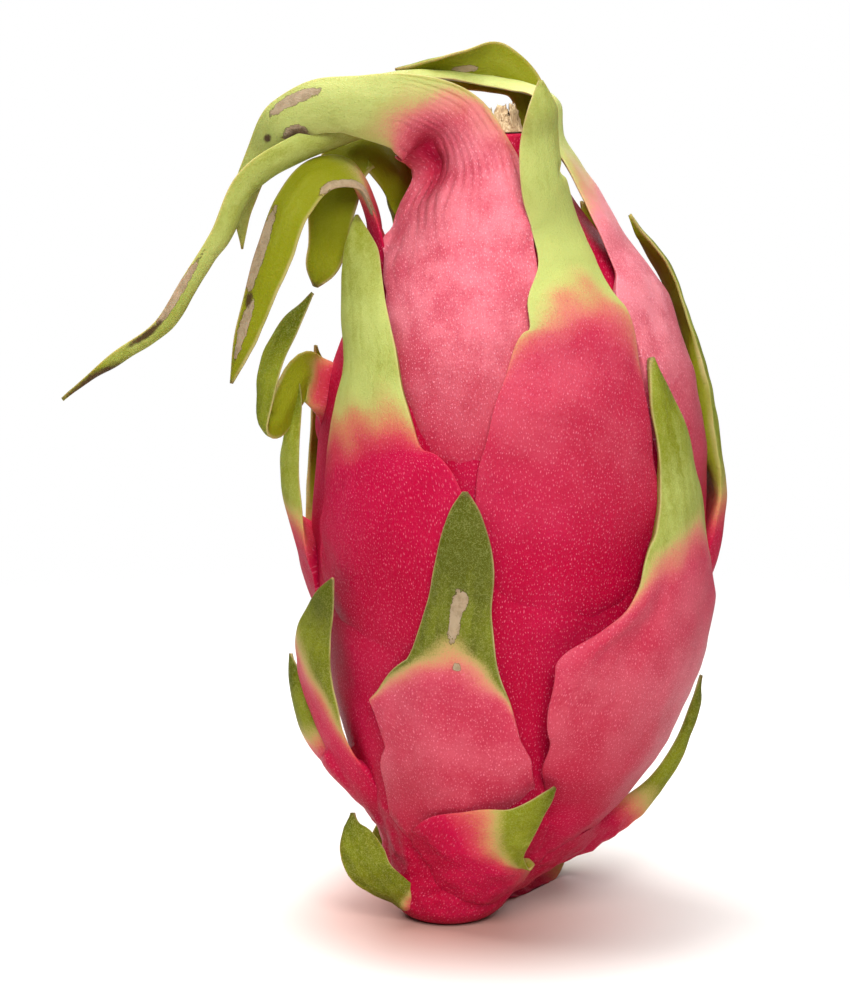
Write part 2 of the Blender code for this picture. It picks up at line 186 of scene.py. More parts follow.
def times(tree, *factors):
    product = factors[0]
    for factor in factors[1:]:
        product = maths(tree, "MULTIPLY", product, factor)
    return product


def plus(tree, *terms):
    total = terms[0]
    for term in terms[1:]:
        total = maths(tree, "ADD", total, term)
    return total


def swing(tree, value, amount):
    # (value - 0.5) * amount
    return times(tree, maths(tree, "SUBTRACT", value, 0.5), amount)


def between(tree, value, low, high, toLow=0.0, toHigh=1.0):
    node = addNode(tree, "ShaderNodeMapRange", {"interpolation_type": "SMOOTHSTEP"})
    return putAll(tree, node, (value, low, high, toLow, toHigh))


def mixColour(tree, factor, a, b):
    node = addNode(tree, "ShaderNodeMix", {"data_type": "RGBA"})
    put(tree, node.inputs[0], factor)
    put(tree, node.inputs[6], a)
    put(tree, node.inputs[7], b)
    return node.outputs[2]


def colourRamp(tree, factor, stops):
    node = tree.nodes.new("ShaderNodeValToRGB")
    elements = node.color_ramp.elements
    while len(elements) < len(stops):
        elements.new(0.5)
    for element, (place, colour) in zip(elements, stops):
        element.position = place
        element.color = (*colour, 1)
    put(tree, node.inputs[0], factor)
    return node.outputs[0]


def noise(tree, vector, scale, detail=2.0, roughness=0.5, distortion=0.0):
    sockets = {"Scale": scale, "Detail": detail, "Roughness": roughness, "Distortion": distortion}
    return addNode(tree, "ShaderNodeTexNoise", Vector=vector, **sockets).outputs[0]


def attribute(tree, name):
    return addNode(tree, "ShaderNodeAttribute", {"attribute_name": name}).outputs["Fac"]


def stretchGroup():
    # Flow coordinates in mm, stretched: across / Width, along / Length, pushed about by Wobble.
    inputs = {"Flow": None, "Width": 1.0, "Length": 1.0, "Wobble": 0.3}
    group, given, out = newGroup("flowStretch", inputs, "Vector", "NodeSocketVector")
    flow, width, length, wobble = (given.outputs[label] for label in inputs)
    millimetres = vectorMaths(group, "MULTIPLY", flow, (flowSpan, flowSpan, flowSpan))
    push = addNode(group, "ShaderNodeTexNoise", Vector=millimetres, Scale=0.55, Detail=1.0)
    centred = vectorMaths(group, "SUBTRACT", push.outputs["Color"], (0.5, 0.5, 0.5))
    scaled = addNode(group, "ShaderNodeVectorMath", {"operation": "SCALE"}, Vector=centred, Scale=wobble)
    moved = vectorMaths(group, "ADD", millimetres, scaled.outputs[0])
    split = addNode(group, "ShaderNodeSeparateXYZ", Vector=moved).outputs
    across = maths(group, "DIVIDE", split[0], width)
    along = maths(group, "DIVIDE", split[1], length)
    joined = addNode(group, "ShaderNodeCombineXYZ", X=across, Y=along)
    group.links.new(joined.outputs[0], out.inputs["Vector"])
    return group


def fleckGroup(stretch):
    # Pale dashes: the flow coordinates are squeezed so that one cell is Width wide and Length long, in mm. A
    # Share of the cells holds a dash, full where the distance to the cell's point is under 0.4 of its radius.
    inputs = {"Flow": None, "Width": 0.7, "Length": 1.3, "Size": 0.2, "Share": 0.8}
    group, given, out = newGroup("paleFlecks", inputs, "Mask", "NodeSocketFloat")
    flow, width, length, size, share = (given.outputs[label] for label in inputs)
    squeezed = addNode(
        group, "ShaderNodeGroup", {"node_tree": stretch},
        Flow=flow, Width=width, Length=length, Wobble=0.9,
    )
    cells = addNode(
        group, "ShaderNodeTexVoronoi", {"voronoi_dimensions": "2D"},
        Vector=squeezed.outputs[0], Scale=1.0, Randomness=0.85,
    )
    chance = addNode(group, "ShaderNodeSeparateColor", Color=cells.outputs["Color"]).outputs
    shown = maths(group, "LESS_THAN", chance[0], share)
    strength = maths(group, "MULTIPLY_ADD", chance[1], 0.7, 0.3)
    radius = times(group, size, maths(group, "MULTIPLY_ADD", chance[2], 0.5, 0.75))
    spot = between(group, cells.outputs["Distance"], times(group, radius, 0.4), radius, 1.0, 0.0)
    group.links.new(times(group, spot, shown, strength), out.inputs["Mask"])
    return group


def newMaterial(name):
    material = bpy.data.materials.new(name)
    material.use_nodes = True
    tree = material.node_tree
    return material, tree, tree.nodes["Principled BSDF"]


rindLook = {
    "flesh": [  # from the root of a scale to where it turns green
        (0.0, (0.345, 0.0003, 0.024)),
        (0.28, (0.41, 0.002, 0.036)),
        (0.41, (0.47, 0.048, 0.060)),
        (0.52, (0.50, 0.17, 0.085)),
        (0.65, (0.45, 0.34, 0.11)),
    ],
    "drift": (0.52, 0.014, 0.070, 1),
    # waxy bloom colour, which also paints a highlight where a scale has it
    "waxAndPaintedSheen": (0.72, 0.20, 0.24, 1),
    "fleck": (0.64, 0.075, 0.145, 1),
    # painted highlight: whiter dashes where the bloom is
    "paintedHighlightFleck": (0.90, 0.36, 0.42, 1),
    "greens": [(0.0, (0.070, 0.080, 0.002)), (0.5, (0.19, 0.21, 0.010)), (1.0, (0.40, 0.44, 0.12))],
    "velvet": (0.50, 0.52, 0.16, 1),
    "inner": (0.21, 0.215, 0.005, 1),
    "margin": (0.50, 0.40, 0.18, 1),
    "pinkMargin": (0.60, 0.10, 0.13, 1),
    "dark": (0.070, 0.042, 0.016, 1),
    "tan": (0.36, 0.27, 0.17, 1),
    "tanShade": (0.20, 0.14, 0.07, 1),
    "fleckForm": {"Width": 0.55, "Length": 1.0, "Size": 0.23, "Share": 0.94},  # mm
    "streakForm": {"Width": 2.2, "Length": 16.0, "Wobble": 2.5},  # mm
    # noise by place: scale a metre, detail and roughness
    "patches": (110.0, 3.0, 0.6),
    "grain": (2900.0, 2.0, 0.7),
    "broad": (38.0, 3.0, 0.55),
    "hairs": (1500.0, 1.0, 0.5, 1.4),
    "torn": (620.0, 4.0, 0.7),
}


def rindMaterial(stretch, flecks):
    material, tree, shader = newMaterial("rind")
    look = rindLook
    flow = addNode(tree, "ShaderNodeUVMap", {"uv_map": "flow"}).outputs[0]
    place = addNode(tree, "ShaderNodeTexCoord").outputs["Object"]
    green = attribute(tree, "greenness")
    inner = attribute(tree, "innerFace")
    waxAndPaintedSheen = attribute(tree, "waxAndPaintedSheen")
    patches = noise(tree, place, *look["patches"])
    grain = noise(tree, place, *look["grain"])
    broad = noise(tree, place, *look["broad"])
    torn = maths(tree, "SUBTRACT", noise(tree, place, *look["torn"]), 0.5)
    # curled hairlines: 1 where a distorted noise is near its middle value
    curled = maths(tree, "ABSOLUTE", maths(tree, "SUBTRACT", noise(tree, place, *look["hairs"]), 0.5))
    curls = between(tree, curled, 0.0, 0.07, 1.0, 0.0)
    fuzzy = plus(tree, green, swing(tree, patches, 0.12), swing(tree, grain, 0.20))
    skin = colourRamp(tree, fuzzy, look["flesh"])
    pinkness = between(tree, fuzzy, 0.36, 0.62, 1.0, 0.0)
    greenery = between(tree, fuzzy, 0.55, 0.80)
    # lighter drifts in the pink, a waxy bloom that is partly a painted highlight, and fine pale dashes that
    # run up the fruit
    drift = times(tree, between(tree, broad, 0.40, 0.75), pinkness, 0.45)
    skin = mixColour(tree, drift, skin, look["drift"])
    # the bloom is partly a painted highlight: it lightens the pink where the lights catch the scales
    bloomAndSheenPatches = between(tree, plus(tree, patches, times(tree, grain, 0.5)), 0.55, 0.95, 0.35, 1.0)
    waxSheenMix = times(tree, waxAndPaintedSheen, between(tree, fuzzy, 0.45, 0.74, 1.0, 0.0), bloomAndSheenPatches)
    skin = mixColour(tree, waxSheenMix, skin, look["waxAndPaintedSheen"])
    skin = mixColour(tree, times(tree, curls, pinkness, 0.10), skin, look["fleck"])
    dash = addNode(tree, "ShaderNodeGroup", {"node_tree": flecks}, Flow=flow, **look["fleckForm"])
    dash = dash.outputs[0]
    # painted highlight: the dashes go whiter with the bloom, as they catch the light there
    fleck = mixColour(tree, plus(tree, waxAndPaintedSheen, times(tree, broad, 0.25)), look["fleck"], look["paintedHighlightFleck"])
    skin = mixColour(tree, times(tree, dash, pinkness, 0.75), skin, fleck)
    # velvet green: light or olive by scale, streaked along the blade, with curled paler hairlines
    streaks = addNode(tree, "ShaderNodeGroup", {"node_tree": stretch}, Flow=flow, **look["streakForm"])
    streaks = streaks.outputs[0]
    streak = noise(tree, streaks, 1.0, 3.0, 0.6)
    tone = plus(
        tree, attribute(tree, "paleness"),
        swing(tree, streak, 0.7), swing(tree, patches, 0.5), swing(tree, grain, 0.28),
    )
    leaf = colourRamp(tree, tone, look["greens"])
    leaf = mixColour(tree, times(tree, curls, 0.20), leaf, look["velvet"])
    skin = mixColour(tree, greenery, skin, leaf)
    # the inner face: yellow-green, waxier
    skin = mixColour(tree, times(tree, inner, greenery, 0.75), skin, look["inner"])
    # thin pale margins, papery tan patches with a brown rim, brown where it has dried
    marginColour = mixColour(tree, greenery, look["pinkMargin"], look["margin"])
    seen = times(tree, attribute(tree, "marginNear"), maths(tree, "MULTIPLY_ADD", greenery, 0.6, 0.2))
    skin = mixColour(tree, seen, skin, marginColour)
    ragged = plus(tree, attribute(tree, "patch"), times(tree, torn, 0.9))
    skin = mixColour(tree, between(tree, ragged, 0.36, 0.43, 0.0, 0.75), skin, look["dark"])
    tan = mixColour(tree, between(tree, torn, -0.1, 0.15, 0.0, 0.5), look["tan"], look["tanShade"])
    skin = mixColour(tree, between(tree, ragged, 0.43, 0.48), skin, tan)
    brown = plus(tree, attribute(tree, "dryness"), times(tree, torn, 0.7))
    skin = mixColour(tree, between(tree, brown, 0.38, 0.85), skin, look["dark"])
    tree.links.new(skin, shader.inputs["Base Color"])
    rough = plus(tree, maths(tree, "MULTIPLY_ADD", greenery, 0.10, 0.44), swing(tree, broad, 0.12))
    rough = maths(tree, "SUBTRACT", rough, times(tree, inner, 0.12))
    tree.links.new(rough, shader.inputs["Roughness"])
    tree.links.new(maths(tree, "MULTIPLY_ADD", waxAndPaintedSheen, 0.42, 0.06), shader.inputs["Specular IOR Level"])
    shader.inputs["Specular Tint"].default_value = (1.0, 0.72, 0.74, 1)
    shader.inputs["Subsurface Weight"].default_value = 0.15
    shader.inputs["Subsurface Radius"].default_value = (1.0, 0.35, 0.2)
    shader.inputs["Subsurface Scale"].default_value = 0.003
    wrinkle = noise(tree, streaks, 2.4, 4.0, 0.55)
    height = plus(
        tree, times(tree, dash, 0.8), times(tree, grain, 0.5),
        times(tree, curls, 0.35), times(tree, wrinkle, 1.6),
    )
    bump = addNode(tree, "ShaderNodeBump", Strength=0.6, Distance=0.00016, Height=height)
    tree.links.new(bump.outputs[0], shader.inputs["Normal"])
    return material


flowerColours = {
    "fibres": [(0.25, (0.15, 0.085, 0.04)), (0.5, (0.42, 0.29, 0.15)), (0.75, (0.68, 0.55, 0.36))],
    "blotch": (0.05, 0.03, 0.015, 1),
}


def flowerMaterial():
    material, tree, shader = newMaterial("dryFlower")
    place = addNode(tree, "ShaderNodeTexCoord").outputs["Object"]
    fibre = addNode(tree, "ShaderNodeMapping", Vector=place, Scale=(1, 1, 0.2)).outputs[0]
    lines = noise(tree, fibre, 2400.0, 3.0, 0.6)
    blotch = noise(tree, place, 500.0, 3.0, 0.6)
    colour = colourRamp(tree, lines, flowerColours["fibres"])
    colour = mixColour(tree, between(tree, blotch, 0.55, 0.7, 0.0, 0.7), colour, flowerColours["blotch"])
    tree.links.new(colour, shader.inputs["Base Color"])
    tree.links.new(between(tree, lines, 0.2, 0.8, 0.75, 0.95), shader.inputs["Roughness"])
    bump = addNode(tree, "ShaderNodeBump", Strength=0.6, Distance=0.0002, Height=lines)
    tree.links.new(bump.outputs[0], shader.inputs["Normal"])
    return material


stretch = stretchGroup()
flecks = fleckGroup(stretch)
rind = rindMaterial(stretch, flecks)
dryFlower = flowerMaterial()
print("materials made")


def dress(obj, node):
    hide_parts(node)
    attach(obj, "root")


# What already lies on the flesh: its stand-off in mm on a grid of azimuth and height.
layers = {"step": 1.5, "height": 180}
layerMap = np.zeros((int(360 / layers["step"]), layers["height"]))


def layerCells(points):
    # where the points are on the map, in cells
    radius, right, back = np.moveaxis(bodyAt(points[..., 2]), -1, 0)
    azimuth = np.degrees(np.arctan2(points[..., 0] - right, back - points[..., 1])) % 360
    return azimuth / layers["step"], np.clip(points[..., 2], 0, layers["height"] - 1.001)


def layerUnder(points):
    # bilinear reading of the map
    a, z = layerCells(points)
    i, k = np.floor(a).astype(int), np.floor(z).astype(int)
    fa, fz = a - i, z - k
    n = len(layerMap)
    i, j = i % n, (i + 1) % n
    return (
        (1 - fa) * (1 - fz) * layerMap[i, k] + fa * (1 - fz) * layerMap[j, k]
        + (1 - fa) * fz * layerMap[i, k + 1] + fa * fz * layerMap[j, k + 1]
    )


def addLayer(points, height):
    # highest value in each cell, spread to the neighbours, then smoothed
    global layerMap
    a, z = layerCells(points)
    fresh = np.full_like(layerMap, -9.0)
    np.maximum.at(fresh, (np.round(a).astype(int) % len(layerMap), np.round(z).astype(int)), height)
    spread = np.maximum(fresh, np.maximum(np.roll(fresh, 1, 0), np.roll(fresh, -1, 0)))
    spread = np.maximum(spread, np.maximum(np.roll(spread, 1, 1), np.roll(spread, -1, 1)))
    joined = np.maximum(layerMap, spread)
    for axis in (0, 1):
        joined = (joined + np.roll(joined, 1, axis) + np.roll(joined, -1, axis)) / 3
    layerMap = np.maximum(joined, 0)


bladeLook = {
    "step": 0.9,  # between sections
    "outerPoints": 41,  # across the outer face
    "edge": 0.42,  # thickness at the margin
    "centre": (3.4, 1.7),  # thickness in the middle, at the root and at the tip
    "fold": [(0, 0.62)],  # half the angle that a free section curves through, by place along the blade
    "flat": 0.62,  # the fold at which a section is as wide as its row says
    "sunk": 4.0,  # how far the inner face of a scale that lies on the fruit is in the flesh
    "drop": (4, 1),  # how far a margin lies below the middle, at the root and from half-way on
    "laid": (0.1, 0.32),  # along the blade, where its margins rise over what they lie on
    "overlap": 0.35,  # and how far they stand over it
    "crown": (150, 157),  # heights between which scales stop following the flesh
    "letsGo": (3, 8),  # stand-offs between which a blade stops following the flesh
    "thins": (2.3, 4.5),  # stand-offs between which it thins to a free blade
    "clearOfFloor": 0.25,
    "margins": (0.035, 14),  # unevenness: share of the half-width, and size in mm
    "relief": (0.3, 15, 0.09, 6),  # depth and size of the soft lumps, then of the small ones
}


def spineOf(rows):
    # even steps of `step` along the Hermite curve through the rows
    rows = np.array(rows, float)
    azimuth = np.radians(rows[:, 0])
    radius, right, back = bodyAt(rows[:, 1]).T
    out = radius + rows[:, 2]
    points = np.stack([right + out * np.sin(azimuth), back - out * np.cos(azimuth), rows[:, 1]], axis=1)
    travelled = np.concatenate([[0], np.cumsum(np.linalg.norm(np.diff(points, axis=0), axis=1))])
    length = travelled[-1]
    count = int(length / bladeLook["step"]) + 1
    knots = np.column_stack([travelled, points, rows[:, 2:]])
    smooth = through(knots, np.linspace(0, length, count))
    return smooth[:, :3], smooth[:, 3], np.maximum(smooth[:, 4], 0.25), np.radians(smooth[:, 5]), length


def framesAlong(points, rolls):
    # The outer normal is carried along without twist, then rolled; rightward = along x normal.
    along = unit(np.gradient(points, axis=0))
    _, right, back = bodyAt(points[:1, 2])[0]
    normal = np.array([points[0, 0] - right, points[0, 1] - back, 0])
    carried = []
    for direction in along:
        normal = unit(normal - (normal @ direction) * direction)
        carried.append(normal)
    carried = np.array(carried)
    across = np.cross(along, carried)
    turn = rolls[:, None]
    rolled = np.cos(turn) * carried + np.sin(turn) * across
    return rolled, np.cross(along, rolled)


def standOff(points):
    # distance out from the flesh, and the level direction out of it
    radius, right, back = np.moveaxis(bodyAt(points[..., 2]), -1, 0)
    away = np.stack([points[..., 0] - right, points[..., 1] - back, np.zeros_like(right)], axis=-1)
    distance = np.maximum(np.linalg.norm(away, axis=-1), 1e-6)
    return distance - radius, away / distance[..., None]


def spotOn(grid, place, side, longWay, wideWay):
    # exp(-(along / longWay)^2 - (across / wideWay)^2), in mm from the share `place` along and `side` across
    along = (grid["t"] - place) * grid["length"] / longWay
    across = (grid["s"] - side) * grid["w"] / wideWay
    return np.exp(-(along**2) - across**2)


def widths(look, points, halfWidth, grid, seed):
    # w = half-width (1 + a wave), and lobes that push one margin out by extra (1 - |along / span|^power)
    share, size = bladeLook["margins"]
    w = halfWidth[:, None] * (1 + share * wander(points, size, seed)[:, None]) * np.ones_like(grid["s"])
    for place, side, extra, span, power in look.get("lobes", []):
        peak = np.clip(1 - (np.abs(grid["t"] - place) * grid["length"] / span) ** power, 0, 1)
        w = w + extra * peak * np.clip(grid["s"] * side, 0, 1)
    return w


def liftedOver(look, outer, wanted, grid, seed):
    # smooth maximum of the wanted stand-off and what lies there, taken up where the blade is laid over it
    t, s = grid["t"], grid["s"]
    low, high = look.get("laid", bladeLook["laid"])
    left = ramp(t, low, high)
    right = ramp(t, *look.get("laidRight", (low, high)))
    laid = left + (right - left) * ramp(s, -0.2, 0.6)
    lowest = layerUnder(outer) + bladeLook["overlap"] * (1 + 0.5 * wander(outer, 17, seed + 1))
    over = 0.5 * (wanted + lowest + np.sqrt((wanted - lowest) ** 2 + 0.6))
    return wanted + laid * (over - wanted)


def reliefOf(look, outer, grid, seed):
    # Lumps, foot wrinkles, pleats that run along, creases that run across, and dents, in mm along the normal.
    t, s, length = grid["t"], grid["s"], grid["length"]
    deep, wide, shallow, small = bladeLook["relief"]
    relief = deep * wander(outer, wide, seed + 2) + shallow * wander(outer, small, seed + 3)
    relief += (1 - ramp(outer[..., 2], 10, 30)) * crinkled(outer)
    if "pleats" in look:
        place, span, count, depth = look["pleats"]
        folds = np.abs(np.sin(math.pi * count * (s / 2 + 0.06 * wander(outer, 16, seed + 6))))
        uneven = np.clip(0.5 + 0.8 * wander(outer, 8, seed + 9), 0, 1.3)
        relief -= depth * uneven * (1 - folds) ** 2 * np.exp(-(((t - place) / span) ** 2)) * 2
    for place, depth, wide in look.get("creases", []):
        off = (t - place) * length + 1.5 * wander(outer, 11, seed + 7)
        relief -= depth * np.exp(-((off / wide) ** 2)) * (1 - 0.6 * s**2)
    for *where, depth in look.get("dents", []):
        relief -= depth * spotOn(grid, *where)
    return relief


def thicknessOf(wanted, halfWidth, lift, belowCrown, grid):
    # A free blade is a lens, edge + (centre - edge)(1 - s^2). One that lies on the fruit reaches into it.
    t, s = grid["t"], grid["s"]
    first, last = bladeLook["centre"]
    centre = np.minimum(first + (last - first) * t, 0.5 * halfWidth[:, None] + 0.5)
    edge = np.minimum(bladeLook["edge"], 0.9 * halfWidth)[:, None]
    free = edge + np.maximum(centre - edge, 0) * (1 - s**2)
    margin = np.abs(s) ** 8
    heldThick = edge + np.maximum(wanted + bladeLook["sunk"] - edge, 0) * (1 - margin)
    heldThick = heldThick + 3 * (1 - ramp(t, 0, 0.5)) * margin
    held = (belowCrown * (1 - ramp(lift, *bladeLook["thins"])))[:, None]
    return held * heldThick + (1 - held) * free, edge


def ringOf(outer, face, thick, edge, lift, grid):
    # The faces meet in a round edge: each is cut back by 0.5 edge (1 - sqrt(1 - q^2)), q of the way over it.
    rim = 0.5 * edge
    q = np.clip((np.abs(grid["s"]) - 1) * grid["w"] / rim + 1, 0, 1)
    rounding = rim * (1 - np.sqrt(1 - q**2))
    thick = np.where(q > 0, thick + (edge - thick) * q**2, thick)
    inner = outer - (thick - rounding)[..., None] * face
    outer = outer - rounding[..., None] * face
    ring = np.concatenate([outer, inner[:, -2:0:-1]], axis=1)
    lowest = bladeLook["clearOfFloor"] * (1 - ramp(lift, *bladeLook["letsGo"]))[:, None]
    ring[..., 2] = np.maximum(ring[..., 2], lowest)
    return ring, outer


def factsOf(look, outer, grid, seed):
    # What the material reads: how far the blade has turned green, dried or been scarred, its waxy bloom that
    # is partly a painted highlight, and a painted shade that deepens the pocket.
    t, s, w, length = grid["t"], grid["s"], grid["w"], grid["length"]
    low, high = look["turnsGreen"]
    away = (1 - np.abs(s)) * w
    seat = t + look.get("bow", 0) * s**2 + look.get("tilt", 0) * s + 0.015 * wander(outer, 9, seed + 4)
    seat = seat + look.get("greenMargin", 0.03) * np.exp(-away / 1.2)
    green = 0.25 + 0.55 * (seat - low) / (high - low)
    green = np.where(seat < low, 0.25 * np.clip(1 + (seat - low) * 4, 0, 1), green)
    green = np.clip(green, 0, 0.8 + 0.2 * ramp(seat, high, 1))
    marginNear = np.exp(-((away / 0.22) ** 2)) * ramp(t, 0.3, 0.5)
    marginNear = marginNear * (0.65 + 0.35 * wander(outer, 8, seed + 8))
    fromTip = (t - 1) * length
    dry = np.maximum(0.62 * ramp(fromTip, -5.0, 0.5), 0.45 * np.exp(-away / 0.5) * ramp(fromTip, -30, -3))
    dry = dry * look.get("dried", 1)
    # waxy bloom along the scale, partly a painted highlight
    amount, waxSheenFrom, waxSheenTo = look.get("waxAndPaintedSheen", (0, 0, 1))
    waxAndPaintedSheen = amount * ramp(t, waxSheenFrom, waxSheenTo)
    patch = np.zeros_like(away)
    for *where, kind in look.get("marks", []):
        spot = spotOn(grid, *where)
        if kind == "dark":
            dry = np.maximum(dry, spot)
        # painted shade: this mark takes out the bloom and some green, so the pocket reads deeper red as if
        # shaded
        elif kind == "paintedPocketShade":
            waxAndPaintedSheen = waxAndPaintedSheen * (1 - spot)
            green = green * (1 - 0.7 * spot)
        else:
            patch = np.maximum(patch, spot)
    pale = look["pale"] - 0.35 * ramp(t, 0.72, 1)
    return {
        "greenness": green, "marginNear": marginNear, "dryness": dry,
        "patch": patch, "paleness": pale, "waxAndPaintedSheen": waxAndPaintedSheen,
    }


def bladeShape(look, seed):
    # Section at t: an arc of half-angle `arc` and half-width w, so outer(s) = spine + sin(s arc) w/arc across
    # - (1 - cos(s arc)) w/arc normal. Where it lies on the fruit it is set to stand lift - drop |s|^2.5 off
    # the flesh, or just over what already lies there.
    points, lift, halfWidth, roll, length = spineOf(look["rows"])
    normal, across = framesAlong(points, roll)
    t = np.linspace(0, 1, len(points))[:, None]
    outerPoints = look.get("outerPoints", bladeLook["outerPoints"])
    s = np.sin(np.linspace(-1, 1, outerPoints) * math.pi / 2)[None, :]
    grid = {"t": t, "s": s, "length": length}
    grid["w"] = widths(look, points, halfWidth, grid, seed)
    belowCrown = 1 - ramp(points[:, 2], *bladeLook["crown"])
    hug = (belowCrown * (1 - ramp(lift, *bladeLook["letsGo"])))[:, None]
    radius = np.maximum(bodyAt(points[:, 2])[:, 0], 6)
    fold = np.interp(t, *np.array(look.get("fold", bladeLook["fold"]), float).T)
    arc = hug * np.clip(halfWidth / radius, 0, 1.3)[:, None] + (1 - hug) * fold
    angle = s * arc
    narrow = math.sin(bladeLook["flat"]) / bladeLook["flat"]
    reach = grid["w"] / arc * (1 + (1 - hug) * (narrow * arc / np.sin(arc) - 1))
    outer = (
        points[:, None]
        + (np.sin(angle) * reach)[..., None] * across[:, None]
        - ((1 - np.cos(angle)) * reach)[..., None] * normal[:, None]
    )
    first, last = bladeLook["drop"]
    drop = first + (last - first) * ramp(t, 0, 0.5)
    wanted = liftedOver(look, outer, lift[:, None] - drop * np.abs(s) ** 2.5, grid, seed)
    found, out = standOff(outer)
    outer = outer + ((wanted - found) * hug)[..., None] * out
    lies = hug[:, 0] > 0.3
    addLayer(outer[lies], wanted[lies])
    face = np.cos(angle)[..., None] * normal[:, None] + np.sin(angle)[..., None] * across[:, None]
    outer = outer + reliefOf(look, outer, grid, seed)[..., None] * face
    thick, edge = thicknessOf(wanted, halfWidth, lift, belowCrown, grid)
    ring, outer = ringOf(outer, face, thick, edge, lift, grid)

    def both(values):
        # the same values on both faces, in the order of the ring
        values = np.broadcast_to(values, outer.shape[:2])
        return np.concatenate([values, values[:, -2:0:-1]], axis=1)

    facts = {name: both(values) for name, values in factsOf(look, outer, grid, seed).items()}
    facts["innerFace"] = np.ones(ring.shape[:2])
    facts["innerFace"][:, :outerPoints] = 0
    facts["innerFace"][:, [0, outerPoints - 1]] = 0.5
    flow = np.stack([both(s * halfWidth[:, None]), both(t * length)], axis=-1) + 37.0 * seed
    walls, caps = ringFaces(*ring.shape[:2])
    return ring.reshape(-1, 3), walls, caps, facts, flow
